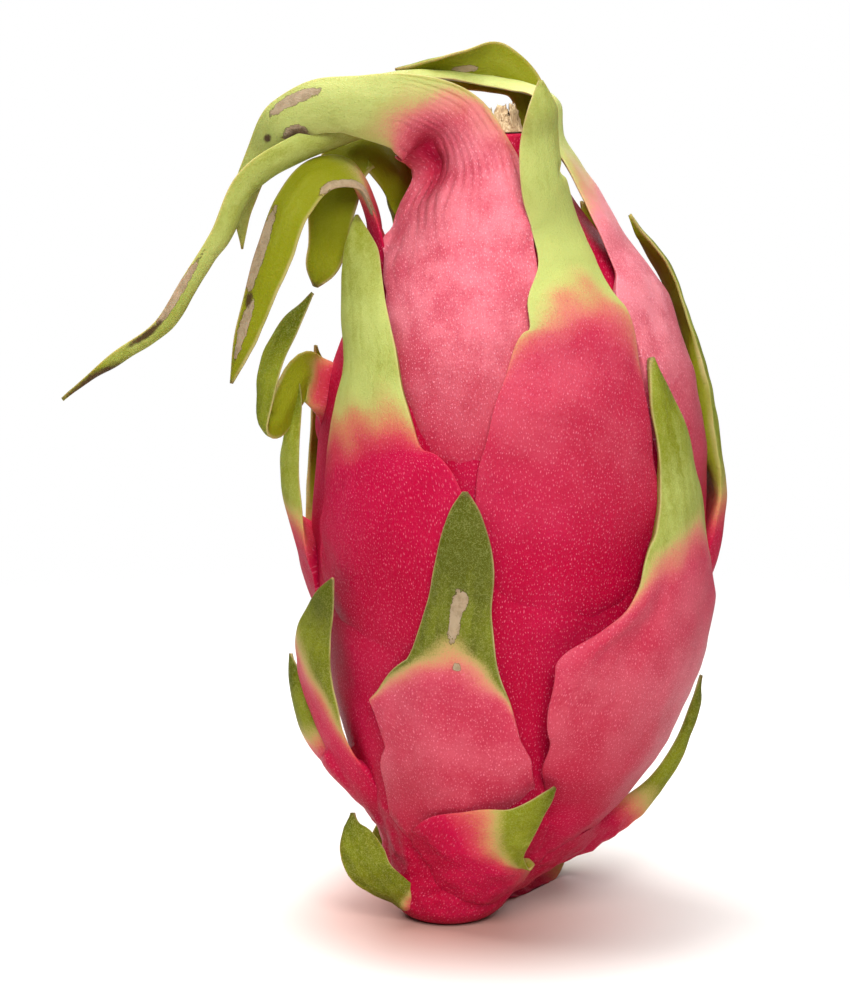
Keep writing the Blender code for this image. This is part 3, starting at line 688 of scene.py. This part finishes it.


# The scales placed one by one. Rows: azimuth from the front in degrees, height, stand-off, half-width, roll.
# A place is a share of the length from the root; a side is -1 at the left margin and 1 at the right.
# turnsGreen = (from, to), slanted by tilt and bow, and carried down the margins by greenMargin.
# lobes = (place, side, mm out, half-length, power); pleats = (place, span, count, depth);
# creases = (place, depth, width); dents = (place, side, length, width, depth);
# marks = (place, side, length, width, kind), where one kind is a painted shade for the pocket; wax and sheen
# = (amount, from, to), a waxy bloom that is partly a painted highlight.
frontScales = {
    "crownFront": {
        "rows": [
            (-19, 81.5, -3, 13, 0), (-18, 91.5, -0.5, 15, 0), (-17, 106.5, 1, 16, 0),
            (-18, 119.5, 2, 16.5, 0), (-19.5, 130, 2.8, 16, 0), (-23, 140, 3.8, 14.5, 0),
            (-30, 149, 4.6, 12, 2), (-38, 155.5, 10, 9, 10), (-48, 160, 17.5, 7, 20),
            (-57, 160.5, 25.5, 6, 28), (-66, 160, 33.5, 5.5, 30), (-73, 156.5, 39, 4.6, 30),
            (-79, 150, 38, 3.4, 25), (-82, 141, 33.5, 2.3, 20), (-84, 132, 28, 0.5, 20),
        ],
        "turnsGreen": (0.52, 0.68), "tilt": 0.035, "greenMargin": 0.05, "pale": 0.95,
        "waxAndPaintedSheen": (0.75, 0.0, 0.34), "outerPoints": 91, "fold": [(0, 0.3), (0.56, 0.3), (0.68, 0.75)],
        "lobes": [(0.53, -1, 4.5, 26, 2)],
        "pleats": (0.50, 0.09, 13, 0.42),
        "dents": [(0.53, -0.6, 8, 4.2, 4.2), (0.60, 0.9, 7, 3, 1.0)],
        # the first mark is a painted shade in the pocket over the first dent
        "marks": [
            (0.53, -0.6, 9, 4.5, "paintedPocketShade"), (0.79, -0.85, 4.5, 3.2, "dark"), (0.79, -0.6, 3.2, 1.8, "tan"),
            (0.77, 0.55, 5.5, 1.2, "tan"), (0.83, 0.0, 1.4, 1.0, "dark"),
        ],
    },
    "crownLong": {
        "rows": [
            (-68, 146, -7, 5, 0), (-76, 153, 6.5, 6, 0), (-75, 155, 16.5, 6, 0), (-73, 152.5, 25, 5.4, 20),
            (-72, 149.5, 31.5, 4.6, 30), (-72, 144.5, 35, 4, 30), (-72, 135, 34.5, 3.6, 30),
            (-73, 126.5, 34.5, 3.4, 30), (-73, 117.5, 37, 3, 30), (-75, 111, 44.5, 2.2, 30),
            (-76, 104.5, 52.5, 0.5, 30),
        ],
        "turnsGreen": (-0.2, -0.1), "pale": 0.8, "fold": [(0, 1.25)],
        "marks": [(0.80, 0.75, 6, 0.8, "dark"), (0.70, 0.8, 9, 0.7, "tan"), (0.93, 0.0, 9, 1.6, "dark")],
    },
    "crownLeftNear": {
        "rows": [
            (-84, 117, -2, 10, 0), (-82, 126, 1, 9, 0), (-79, 134, 5, 7, 0), (-76, 141, 10.5, 6, 0),
            (-73, 146, 17, 5.4, 0), (-71, 146, 23, 5, 0), (-70, 141, 24.5, 4.8, 0), (-70, 132, 23, 4.4, 0),
            (-71, 123, 21, 3.6, 0), (-72, 115, 20.5, 2.8, 0), (-74, 107, 20.5, 0.5, 0),
        ],
        "turnsGreen": (0.28, 0.42), "pale": 0.5,
        "marks": [
            (0.68, -0.8, 9, 1.7, "tan"), (0.79, -0.6, 2.2, 1.3, "dark"), (0.86, -0.3, 7, 1.6, "tan"),
            (0.40, 0.9, 9, 0.8, "tan"),
        ],
    },
    "crownLeftFar": {
        "rows": [
            (-115, 131, -1, 7, 0), (-106, 141, 4.5, 6, 0), (-96, 148, 12, 5.6, 0),
            (-92, 151, 18.5, 5.6, 5), (-88, 148, 18.5, 5.4, 15), (-85, 141, 15, 5.2, 20),
            (-85, 132, 11, 4.2, 20), (-84, 127, 9.5, 2.8, 20), (-84, 124.5, 9, 0.6, 20),
        ],
        "turnsGreen": (-0.2, 0.1), "pale": 0.35,
    },
    "crownLeftHidden": {
        "rows": [
            (-135, 138, -1, 4.5, 0), (-122, 146, 6.5, 4, 0), (-114, 149, 10, 3.4, 0),
            (-110, 147, 9.5, 2.6, 10), (-109, 143, 7, 0.5, 20),
        ],
        "turnsGreen": (0.0, 0.3), "pale": 0.4,
    },
    "rightOver": {
        "rows": [
            (80, 57, -3, 12, 0), (73, 72.5, -1, 14, 0), (66, 90.5, 1, 14, 0), (62, 106, 2, 12.5, 0),
            (64, 119, 2.5, 10.5, 0), (69, 131, 4.4, 9, -5), (72, 140, 6.4, 6.8, -8),
            (73, 149, 6.2, 4.6, -12), (73, 156, 5, 3.8, -22), (92, 161.5, 3.2, 3.4, -36),
            (155, 164, 2, 4, -45), (-146, 165.5, 4, 3.6, -45), (-112, 166.5, 9, 3, -45),
            (-97, 165.5, 20, 0.5, -45),
        ],
        "turnsGreen": (0.48, 0.70), "pale": 1.1, "waxAndPaintedSheen": (1.2, 0.15, 0.5),
        "lobes": [(0.44, -1, 3, 7, 1.3)],
        "dents": [(0.66, 0.0, 14, 3, 0.8)],
    },
    "backOver": {
        "rows": [
            (149, 135.5, -2.3, 6.6, 0), (149.6, 144, 3, 6.2, 0), (150, 152, 7, 4.6, 8),
            (152, 158, 8, 3.9, 12), (163, 163.5, 8.2, 4.2, 15), (188, 166.8, 7.5, 5.4, 18),
            (212, 167.5, 7.5, 5.4, 0), (236, 168, 10, 4, -30), (250, 166.5, 16, 0.5, -45),
        ],
        "turnsGreen": (0.1, 0.3), "pale": 0.6,
        "marks": [(0.75, 0.0, 3, 1.2, "tan"), (0.6, 0.4, 2, 0.8, "dark")],
    },
    "rightTall": {
        "rows": [
            (20, 44, -3, 14, 0), (15, 58.5, -1.5, 18, 0), (15, 76.5, 1, 19.5, 0), (16, 92, 2, 19, 0),
            (18, 103, 2.5, 17, 0), (21.5, 113, 2.5, 14, 0), (24.5, 119, 3, 11.8, 0),
            (25.5, 125, 3, 9.8, 0), (30, 131, 3, 7.1, 0), (34, 138.5, 3.6, 6.1, 0), (28, 146, 8.2, 5.7, 0),
            (23, 154.5, 13, 5, 0), (21, 160.5, 14.5, 3.6, 0), (19.5, 165.5, 13.5, 0.5, 0),
        ],
        "turnsGreen": (0.58, 0.72), "bow": 0.05, "tilt": -0.02, "pale": 1.15, "waxAndPaintedSheen": (0.22, 0.24, 0.5),
        "creases": [(0.70, 0.4, 1.0), (0.715, 0.25, 0.8)], "lobes": [(0.65, -1, 0.4, 4, 1)],
        "dents": [(0.86, 0.9, 1.6, 1.4, 1.0), (0.68, -0.8, 4, 3, 0.6)],
    },
    "leftTall": {
        "rows": [
            (-43, 38, -3, 13, 0), (-40, 53, -1.5, 18, 0), (-38.5, 68, 1, 21, 0), (-38.5, 78, 2, 20.5, 0),
            (-41, 86, 2.2, 18.4, 0), (-45, 93.5, 2.2, 15, 2), (-46.5, 99, 2.4, 12.4, 5),
            (-48, 104.5, 2.5, 10.2, 8), (-50, 112, 3, 8.3, 10), (-56, 121, 4.5, 7, 12),
            (-62.5, 128, 6, 5.8, 14), (-70, 134, 8.5, 3.8, 16), (-76, 139, 10.5, 0.5, 16),
        ],
        "turnsGreen": (0.52, 0.68), "pale": 0.95,
        "creases": [(0.72, 0.18, 0.9)],
    },
    "middle": {
        "rows": [
            (-14, 8.5, -3, 12, 0), (-17, 17, -0.5, 13.5, 0), (-17, 24, 1, 16, 0), (-17, 32, 1.8, 16.6, 0),
            (-17, 36.5, 2, 15.2, 0), (-17, 41.5, 2.2, 13.4, 0), (-17, 46, 2.4, 12.2, 0),
            (-17, 50.5, 2.6, 11, 0), (-16, 57.5, 3, 8.8, 0), (-14.8, 65.5, 3, 7, 0),
            (-13, 75.5, 3.5, 5.8, 0), (-13, 83, 4, 4.3, 0), (-13, 87, 4, 2.6, 0), (-13, 90, 4, 0.5, 0),
        ],
        "turnsGreen": (0.54, 0.68), "bow": 0.07, "greenMargin": 0.06, "pale": 0.10, "waxAndPaintedSheen": (0.3, 0.0, 0.4),
        "lobes": [(0.468, -1, 7.2, 10, 1), (0.37, 1, 1.0, 4, 1)],
        "laid": (0.02, 0.16), "laidRight": (0.25, 0.36),
        "marks": [
            (0.715, -0.05, 5.5, 1.3, "tan"), (0.755, 0.1, 2.5, 1.2, "tan"), (0.60, 0.12, 0.9, 0.9, "tan"),
        ],
    },
    "rightMiddle": {
        "rows": [
            (68, 10, -1, 14, 0), (59, 24, 3, 20.5, 0), (53.5, 37, 4.5, 26.5, 0), (51.5, 46, 4.6, 29.8, 0),
            (51.5, 52, 4.6, 30.5, 0), (51.5, 56.5, 4.4, 28, 0), (51.5, 61, 4.2, 22.8, 0),
            (51.5, 65, 4.1, 17.6, -2), (51.5, 69.5, 3.9, 14, -6), (51.5, 74, 3.7, 11.8, -10),
            (52, 79, 3.5, 9.2, -14), (50.5, 89, 3.5, 6.4, -15), (48, 98, 4, 5, -15),
            (46, 106, 4, 3.4, -15), (46, 113.5, 4, 0.5, -15),
        ],
        "turnsGreen": (0.63, 0.74), "bow": 0.04, "tilt": -0.03, "pale": 0.75, "waxAndPaintedSheen": (0.3, 0.1, 0.45),
        "dents": [(0.53, -0.88, 12, 3, -1.2), (0.52, -0.5, 13, 2.6, 0.7), (0.45, -0.7, 5, 3, 0.5)],
        "laid": (0.1, 0.52),
    },
    "leftLow": {
        "rows": [
            (-80, 13, -2, 7, 0), (-78, 20.5, 0.5, 9.5, 0), (-76, 29, 3.5, 9.6, 5),
            (-71.5, 39.5, 5.5, 8.8, 10), (-65.5, 50.5, 6.8, 7, 15), (-59, 60, 6.4, 4.8, 18),
            (-53.5, 66.5, 6.2, 3, 20), (-50, 71, 6, 0.5, 20),
        ],
        "turnsGreen": (0.5, 0.74), "bow": 0.05, "tilt": 0.13, "pale": 0.3,
    },
    "leftLowFar": {
        "rows": [
            (-90, 14, -2, 6, 0), (-86, 22, 2, 6.5, 10), (-84, 29, 5.5, 7, 10), (-84, 35, 8, 6, 15),
            (-84, 41, 8.5, 4.6, 20), (-84, 46, 8, 3.4, 25), (-85, 51, 7, 0.5, 25),
        ],
        "turnsGreen": (0.45, 0.7), "pale": 0.3, "fold": [(0, 0.9)],
    },
    "leftMiddle": {
        "rows": [
            (-92, 49, -2, 9, 0), (-90, 60, 0, 10, 8), (-86, 70, 2.5, 9, 15), (-82, 78, 4.5, 7, 25),
            (-78, 87, 6.5, 4, 35), (-75.5, 94, 7, 3, 40), (-74.5, 100, 7.5, 2.6, 40),
            (-74, 105, 8, 1.9, 40), (-73.5, 108, 8, 0.5, 40),
        ],
        "turnsGreen": (0.42, 0.62), "pale": 0.6, "fold": [(0, 1.0)],
    },
    "leftHook": {
        "rows": [
            (-106, 88, -2, 9, 0), (-95, 97, 0, 8.5, 0), (-84, 104.5, 3, 6.4, 0), (-77, 107.5, 7.5, 5, 0),
            (-75, 104, 9, 4.2, 5), (-74, 99, 11, 3.8, 15), (-72.5, 98.5, 13, 3.6, 40),
            (-71, 105, 15, 3.6, 70), (-70, 113, 15.5, 3.4, 80), (-67, 119, 15, 2.8, 80),
            (-64, 125, 13.5, 0.5, 80),
        ],
        "turnsGreen": (0.3, 0.42), "pale": 0.35,
    },
    "footLeft": {
        "rows": [
            (-38, 2, -2, 3.8, 20), (-46, 5, 1.5, 4.6, 30), (-54, 9, 4.5, 5.4, 35), (-60, 13, 6.5, 5.6, 40),
            (-64, 17, 6.5, 4.6, 40), (-67, 19.5, 6, 2.8, 40), (-70, 21.5, 4.5, 0.8, 40),
        ],
        "turnsGreen": (0.06, 0.24), "pale": 0.2,
    },
    "footFront": {
        "rows": [
            (0, 4, -2, 11, 0), (4, 8.5, 1, 14, 0), (3, 13, 2.5, 15, 0), (2, 17, 3.5, 13, 0),
            (5, 20.5, 4, 8.8, 0), (11, 24, 4.5, 4.6, 0), (14.5, 27.5, 5, 2.5, 0), (17, 30.5, 5.5, 1.3, 0),
            (18, 32, 5.5, 0.5, 0),
        ],
        "turnsGreen": (0.38, 0.64), "tilt": 0.13, "pale": 0.4, "laid": (0.05, 0.2),
    },
    "rightLow": {
        "rows": [
            (66, 5, -2, 8, -5), (73, 8.5, 1.5, 9, -8), (80, 13, 4, 6.6, -14), (86, 19, 7.2, 3.8, -18),
            (90.5, 25, 8.6, 2.5, -20), (93, 32, 8.6, 2, -22), (92, 39.5, 7, 1.6, -22),
            (89, 46, 5, 0.5, -22),
        ],
        "turnsGreen": (0.42, 0.62), "pale": 0.35,
    },
    "rightEdge": {
        "rows": [
            (95, 53, -2, 10, 0), (95, 62, 0.5, 11, 0), (95, 71.5, 3, 10, 4), (95, 81.5, 4, 8.8, 8),
            (95, 93, 3.5, 8, 10), (95, 104, 3.5, 7.6, 12), (96, 115, 4.2, 6.8, 14), (97, 127, 6.5, 5, 14),
            (97, 134.5, 9, 2.8, 12), (97, 138.5, 9.5, 0.5, 12),
        ],
        "turnsGreen": (0.25, 0.45), "pale": 0.55, "dried": 0.4,
    },
    "rightHidden": {
        "rows": [
            (123, 120, -4, 7.5, 0), (117, 129, 0, 7, 0), (111, 136, 3, 5.5, 0), (107, 140.5, 5, 3.2, 0),
            (104, 144, 6.5, 0.5, 0),
        ],
        "turnsGreen": (0.2, 0.6), "pale": 0.5,
    },
    "footBackRight": {
        "rows": [
            (150, 9, -4, 5, 0), (150, 4, 1.5, 6.5, 0), (149, 2, 9, 7.2, 0), (148, 1.6, 17, 7, 0),
            (148, 2.2, 22, 6.4, 0), (148, 5, 23, 5.8, 0), (148, 10, 19.5, 5, 0), (148, 16, 14, 3.8, 0),
            (148, 21, 10, 2.2, 0), (148, 25, 7.5, 0.5, 0),
        ],
        "turnsGreen": (0.35, 0.6), "pale": 0.4,
    },
    "footBackLeft": {
        "rows": [
            (-158, 9, -4, 5, 0), (-158, 4, 1.5, 6, 0), (-158, 2, 8, 6.6, 0), (-157, 1.6, 14, 6.4, 0),
            (-157, 2.4, 18, 6, 0), (-157, 6, 18.5, 5.2, 0), (-157, 11, 15, 4.4, 0), (-157, 16.5, 11, 3, 0),
            (-157, 21, 8.5, 0.5, 0),
        ],
        "turnsGreen": (0.35, 0.6), "pale": 0.3,
    },
}


def makeScale(name, look, seed):
    points, walls, caps, facts, flow = bladeShape(look, seed)
    walls, caps = facingOut(points, walls, caps)
    dress(meshFrom("scale_" + name, points, walls, caps, facts, flow, rind), "dragon_fruit")


# The far side, in the spiral order that they grew: azimuth and height of the root, length, half-width,
# sideways lean in degrees, and how far out the tip stands.
backScales = {
    "rows": [
        (118, 12, 60, 15, -8, 7), (166, 10, 66, 17, 6, 5), (-142, 12, 62, 16, 8, 8),
        (142, 46, 74, 18, -6, 5), (-166, 50, 78, 19, 5, 7), (-122, 44, 66, 16, 6, 9),
        (120, 78, 62, 13, 8, 6), (168, 88, 62, 15, -8, 9), (-140, 86, 60, 15, -6, 12),
    ],
    # share of the length, stand-off as a share of the tip's, share of the half-width
    "form": [
        (0, -3 / 8, 0.75), (0.16, 0, 0.95), (0.34, 0.2, 1), (0.5, 0.35, 0.86), (0.64, 0.45, 0.58),
        (0.77, 0.55, 0.38), (0.89, 0.75, 0.24), (1, 1, 0.03),
    ],
    "turnsGreen": (0.5, 0.66),
    "bow": 0.06,
    "pale": (0.3, 0.8, 0.5, 0.4, 0.7, 0.3, 0.6, 0.4, 0.8),
}


def backRows(azimuth, low, length, halfWidth, lean, tipOut):
    # the common form stretched over one scale's measures
    share, out, width = np.array(backScales["form"]).T
    columns = [azimuth + lean * share, low + length * share, tipOut * out, halfWidth * width, 0 * share]
    return np.column_stack(columns)


allScales = dict(frontScales)
for number, (measures, pale) in enumerate(zip(backScales["rows"], backScales["pale"])):
    allScales[f"back{number}"] = {
        "rows": backRows(*measures), "turnsGreen": backScales["turnsGreen"], "bow": backScales["bow"],
        "pale": pale,
    }
# upper scales are laid first, and lower ones over them
order = sorted(allScales, key=lambda name: -allScales[name]["rows"][0][1])
for number, name in enumerate(order):
    makeScale(name, allScales[name], number + 1)
print("scales made:", len(order))


def makeBody(look):
    # Level rings of radius(z) round the wandering axis, pushed out by a soft unevenness, and near the foot by
    # wrinkles; a flat spot below, the crown above.
    levels, sides = look["levels"], look["sides"]
    turn = np.linspace(-math.pi, math.pi, sides, endpoint=False)
    heights = np.linspace(0, bodyRows[-1, 0], levels)
    radius, right, back = bodyAt(heights).T
    outward = np.stack([np.sin(turn), -np.cos(turn), 0 * turn], axis=-1)
    axis = np.stack([right, back, heights], axis=-1)
    points = axis[:, None] + radius[:, None, None] * outward
    depth, size = look["unevenness"]
    push = depth * (wander(points, size, 400) - 1) * ramp(heights, 2, 12)[:, None]
    push += (ramp(heights, 1, 6) * (1 - ramp(heights, 20, 34)))[:, None] * crinkled(points)
    points = (points + push[..., None] * outward).reshape(-1, 3)
    flow = np.stack([radius[:, None] * turn, np.broadcast_to(heights[:, None], (levels, sides))], axis=-1)
    facts = {
        fact: np.zeros(len(points))
        for fact in ("greenness", "innerFace", "marginNear", "dryness", "patch", "paleness", "waxAndPaintedSheen")
    }
    walls, caps = facingOut(points, *ringFaces(levels, sides))
    dress(meshFrom("body_skin", points, walls, caps, facts, flow, rind), "dragon_fruit")


makeBody(bodyLook)
print("body made")


flowerLook = {
    "petals": 13,
    "length": (2.4, 4.8),
    "width": (1.5, 2.6),
    "lean": (-48, 0),
    "ring": (2.0, 3.8),  # distance of a petal's base from the middle
    "seed": 5,
    "petalGrid": (9, 14),
    "foot": 0.3,  # clear of the crown's disc
    "stub": (4.3, 1.3),  # radius and height
    "stubGrid": (6, 40),
}


def petalPoints(look, draw, number):
    # A tapered sheet that curls and frays: x = w(v) cos a, y = 0.16 sin a + 0.35 cos^2 a - l v sin(lean),
    # z = l v cos(lean), each with a little chance in it, then turned round the crown.
    rows, sides = look["petalGrid"]
    top, _, right, back = bodyRows[-1]
    turn = 2 * math.pi * (number + draw.uniform(-0.3, 0.3)) / look["petals"]
    length = draw.uniform(*look["length"])
    width = draw.uniform(*look["width"])
    lean = math.radians(draw.uniform(*look["lean"]))
    ring = draw.uniform(*look["ring"])
    v = np.linspace(0, 1, rows)[:, None]
    a = np.linspace(0, 2 * math.pi, sides, endpoint=False)[None, :]
    taper = width * (1 - 0.55 * v**1.5)
    x = taper * np.cos(a) * (1 + 0.15 * draw.normal(size=(rows, 1)))
    y = 0.16 * np.sin(a) + 0.35 * np.cos(a) ** 2 + 0.1 * draw.normal(size=(rows, 1))
    y = y - length * v * math.sin(lean)
    z = length * v * math.cos(lean) + 0.35 * v**4 * draw.normal(size=(1, sides)) + 0.5
    px = right + (ring - y) * math.sin(turn) + x * math.cos(turn)
    py = back - (ring - y) * math.cos(turn) + x * math.sin(turn)
    return np.stack([px, py, z + top + look["foot"]], axis=-1)


def stubPoints(look):
    # x = r sin a, y = r cos a, with r narrowing upwards by a fifth and waving seven times round
    rows, sides = look["stubGrid"]
    radius, height = look["stub"]
    top, _, right, back = bodyRows[-1]
    v = np.linspace(0, 1, rows)[:, None]
    a = np.linspace(0, 2 * math.pi, sides, endpoint=False)[None, :]
    reach = radius * (1 - 0.2 * v) * (1 + 0.04 * np.sin(7 * a))
    z = top + look["foot"] + height * v + 0 * a
    return np.stack([right + reach * np.sin(a), back - reach * np.cos(a), z], axis=-1)


def makeFlower(look):
    # torn petal bases in a ring on a low stub, as one mesh of closed tubes
    draw = np.random.default_rng(look["seed"])
    tubes = [petalPoints(look, draw, number) for number in range(look["petals"])] + [stubPoints(look)]
    allPoints, allWalls, allCaps, start = [], [], [], 0
    for tube in tubes:
        points = tube.reshape(-1, 3)
        walls, caps = facingOut(points, *ringFaces(*tube.shape[:2]))
        allPoints.append(points)
        allWalls.append(walls + start)
        allCaps += [[i + start for i in cap] for cap in caps]
        start += len(points)
    points = np.concatenate(allPoints)
    obj = meshFrom("dry_flower", points, np.concatenate(allWalls), allCaps, {}, points[:, :2], dryFlower)
    dress(obj, "flower_remnant")


makeFlower(flowerLook)
print("flower made")


floorLook = {
    "radius": 0.62,
    "sides": 96,
    "fades": (0.10, 0.36),  # from here to here it goes over into the white surround
    "near": (0.44, 0.25, 0.21, 1),  # painted shadow: darker, redder floor round the foot, standing in for the fruit's contact shade and red bounce
    "far": (0.78, 0.76, 0.73, 1),
    # distances from the foot over which the painted shadow fades out
    "paintedShadowReach": (0.008, 0.062),
}


def makeFloor(look):
    # A disc that fades into the white surround: x = r sin a, y = r cos a.
    turn = np.linspace(0, 2 * math.pi, look["sides"], endpoint=False)
    points = look["radius"] * np.stack([np.sin(turn), np.cos(turn), 0 * turn], axis=-1)
    mesh = bpy.data.meshes.new("floor")
    mesh.from_pydata(points.tolist(), [], [list(range(look["sides"] - 1, -1, -1))])
    obj = bpy.data.objects.new("floor", mesh)
    bpy.context.scene.collection.objects.link(obj)
    material, tree, shader = newMaterial("paleFloor")
    place = addNode(tree, "ShaderNodeTexCoord").outputs["Object"]
    reach = addNode(tree, "ShaderNodeVectorMath", {"operation": "LENGTH"}, Vector=place).outputs["Value"]
    tree.links.new(between(tree, reach, *look["fades"], 1.0, 0.0), shader.inputs["Alpha"])
    # painted shadow: near the foot the floor colour goes over to a darker, redder one, as the fruit's shade
    # and bounced red light
    colour = mixColour(tree, between(tree, reach, *look["paintedShadowReach"]), look["near"], look["far"])
    tree.links.new(colour, shader.inputs["Base Color"])
    shader.inputs["Roughness"].default_value = 0.6
    shader.inputs["Specular IOR Level"].default_value = 0.2
    mesh.materials.append(material)


# name: place, what it points at, size, power in watts
lights = {
    "overheadLight": ((-0.32, 0.25, 1.0), (0, 0, 0.05), (0.85, 0.85), 19.0),
    "frontLight": ((0.10, -0.75, 0.68), (0, 0, 0.10), (0.55, 0.55), 13.0),
    "backLight": ((0.1, 0.8, 0.45), (0, 0, 0.1), (0.9, 0.5), 3.0),
}


def softLight(name, place, target, size, power):
    light = bpy.data.lights.new(name, "AREA")
    light.shape = "RECTANGLE"
    light.size, light.size_y = size
    light.energy = power
    obj = bpy.data.objects.new(name, light)
    x, y, z = np.array(target, float) - np.array(place, float)
    pitch = math.atan2(z, math.hypot(x, y))
    obj.location = place
    obj.rotation_euler = (math.pi / 2 + pitch, 0, math.atan2(y, x) - math.pi / 2)
    bpy.context.scene.collection.objects.link(obj)


makeFloor(floorLook)
for name, (place, target, size, power) in lights.items():
    softLight(name, place, target, size, power)


worldLook = {"lit": 0.17, "seen": 1.0}


def makeWorld(lit, seen):
    # the surround lights the fruit softly, and is white where the camera sees it
    world = bpy.data.worlds.new("studio")
    world.use_nodes = True
    tree = world.node_tree
    background = tree.nodes["Background"]
    background.inputs["Color"].default_value = (1, 1, 1, 1)
    straight = addNode(tree, "ShaderNodeLightPath").outputs["Is Camera Ray"]
    tree.links.new(maths(tree, "MULTIPLY_ADD", straight, seen - lit, lit), background.inputs["Strength"])
    return world


bpy.context.scene.world = makeWorld(**worldLook)
bpy.context.scene.view_settings.view_transform = "Standard"

cameraLook = {"place": (-4.59, -624.63, 194.06), "down": 10.0, "lens": 117.0, "sensor": 36.0}
cameraData = bpy.data.cameras.new("camera")
cameraData.lens = cameraLook["lens"]
cameraData.sensor_width = cameraLook["sensor"]
camera = bpy.data.objects.new("camera", cameraData)
camera.location = [v * mm for v in cameraLook["place"]]
camera.rotation_euler = (math.radians(90 - cameraLook["down"]), 0, 0)
bpy.context.scene.collection.objects.link(camera)
bpy.context.scene.camera = camera
print("studio made")
